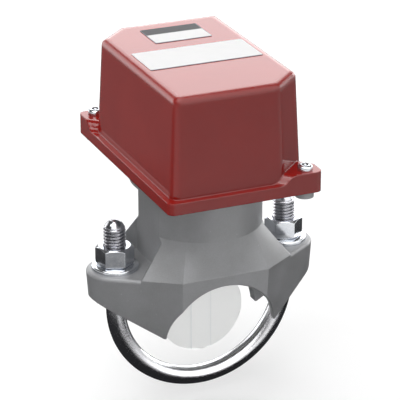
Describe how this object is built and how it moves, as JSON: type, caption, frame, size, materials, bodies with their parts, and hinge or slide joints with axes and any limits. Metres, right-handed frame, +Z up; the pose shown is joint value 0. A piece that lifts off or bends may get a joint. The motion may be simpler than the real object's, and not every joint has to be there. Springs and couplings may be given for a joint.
{
  "type": "water flow detector",
  "caption": "Vane-type water flow detector: grey saddle with U-bolt clamp, swinging plastic paddle, and a red enclosure with an air retard and snap switches.",
  "frame": {"origin": "on the pipe's axis, where the axis of the stem crosses it", "axes": "+X across the pipe through the U-bolt's legs, +Y along the pipe with the flow, +Z up the stem to the enclosure"},
  "size_m": [0.137, 0.1384, 0.202],
  "materials": {
    "cast_grey": "matt, as cast, with a fine grain",
    "red_enamel": "glossy red enamel",
    "zinc_steel": "bright zinc plate",
    "sheet_steel": "zinc-plated sheet",
    "clear_white_plastic": "translucent, slightly matt",
    "brass": "machined",
    "black_rubber": "matt",
    "switch_plastic": "moulded, slightly glossy",
    "barrier_sheet": "matt insulating sheet",
    "button_plastic": "smooth",
    "retard_aluminium": "turned",
    "dial_plastic": "satin",
    "label_white": "smooth film",
    "green_screw": "green"
  },
  "bodies": {
    "body": {"saddle": "cast_grey", "saddle_gasket": "black_rubber", "washers": "zinc_steel", "stem_boot": "black_rubber", "pivot_bracket": "sheet_steel", "bracket_screws": "zinc_steel", "pivot_pin": "zinc_steel", "base": "cast_grey", "base_screws": "zinc_steel", "ground_screw": "green_screw", "cover_gasket": "black_rubber", "chassis": "sheet_steel", "chassis_screws": "zinc_steel", "switch_left": "switch_plastic", "switch_right": "switch_plastic", "switch_screws": "zinc_steel", "terminal_screws": "brass", "switch_barrier": "barrier_sheet", "retard_body": "retard_aluminium", "retard_cap": "retard_aluminium", "retard_nut": "zinc_steel"},
    "cover": {"cover": "red_enamel", "cover_screws": "zinc_steel", "name_label": "label_white", "data_label": "label_white"},
    "u_bolt": {"u_bolt": "zinc_steel"},
    "nut_left": {"nut_left": "zinc_steel"},
    "nut_right": {"nut_right": "zinc_steel"},
    "stem": {"stem": "brass", "paddle": "clear_white_plastic", "paddle_screws": "zinc_steel"},
    "plunger": {"retard_plunger": "zinc_steel", "trip_plate": "sheet_steel"},
    "lever_left": {"switch_lever_left": "sheet_steel"},
    "lever_right": {"switch_lever_right": "sheet_steel"},
    "button_left": {"switch_button_left": "button_plastic"},
    "button_right": {"switch_button_right": "button_plastic"},
    "dial": {"retard_dial": "dial_plastic"}
  },
  "joints": [
    {"name": "cover_lift", "type": "slide", "parent": "body", "child": "cover", "axis": [0, 0, 1], "range_m": [0, 0.062]},
    {"name": "nut_left_turn", "type": "hinge", "parent": "body", "child": "nut_left", "pos_m": [-0.05215, 0, 0.0473], "axis": [0, 0, 1], "range_deg": [0, 1480]},
    {"name": "nut_right_turn", "type": "hinge", "parent": "body", "child": "nut_right", "pos_m": [0.05215, 0, 0.0473], "axis": [0, 0, 1], "range_deg": [0, 1480]},
    {"name": "u_bolt_slide", "type": "slide", "parent": "body", "child": "u_bolt", "axis": [0, 0, 1], "range_m": [-0.008, 0]},
    {"name": "paddle_swing", "type": "hinge", "parent": "body", "child": "stem", "pos_m": [0, 0, 0.066], "axis": [1, 0, 0], "range_deg": [0, 8], "stiffness_Nm_per_rad": 0.4, "springref_deg": -8.59},
    {"name": "plunger_slide", "type": "slide", "parent": "body", "child": "plunger", "axis": [0, -1, 0], "range_m": [0, 0.0075]},
    {"name": "lever_left_swing", "type": "hinge", "parent": "body", "child": "lever_left", "pos_m": [-0.00923, -0.017, 0.104], "axis": [1, 0, 0], "range_deg": [0, 16.5]},
    {"name": "lever_right_swing", "type": "hinge", "parent": "body", "child": "lever_right", "pos_m": [0.00923, -0.017, 0.104], "axis": [1, 0, 0], "range_deg": [0, 16.5]},
    {"name": "button_left_press", "type": "slide", "parent": "body", "child": "button_left", "axis": [0, -1, 0], "range_m": [0, 0.0016]},
    {"name": "button_right_press", "type": "slide", "parent": "body", "child": "button_right", "axis": [0, -1, 0], "range_m": [0, 0.0016]},
    {"name": "dial_turn", "type": "hinge", "parent": "body", "child": "dial", "pos_m": [0, 0.031, 0.137], "axis": [0, 0, 1], "range_deg": [0, 300]}
  ],
  "couplings": [
    {"joint": "nut_left_turn", "follows": "u_bolt_slide", "rad_per_m": -3215.8},
    {"joint": "nut_right_turn", "follows": "u_bolt_slide", "rad_per_m": -3215.8},
    {"joint": "plunger_slide", "follows": "paddle_swing", "m_per_rad": 0.052},
    {"joint": "lever_left_swing", "follows": "paddle_swing", "ratio": 2},
    {"joint": "lever_right_swing", "follows": "paddle_swing", "ratio": 2},
    {"joint": "button_left_press", "follows": "paddle_swing", "m_per_rad": 0.011},
    {"joint": "button_right_press", "follows": "paddle_swing", "m_per_rad": 0.011}
  ]
}
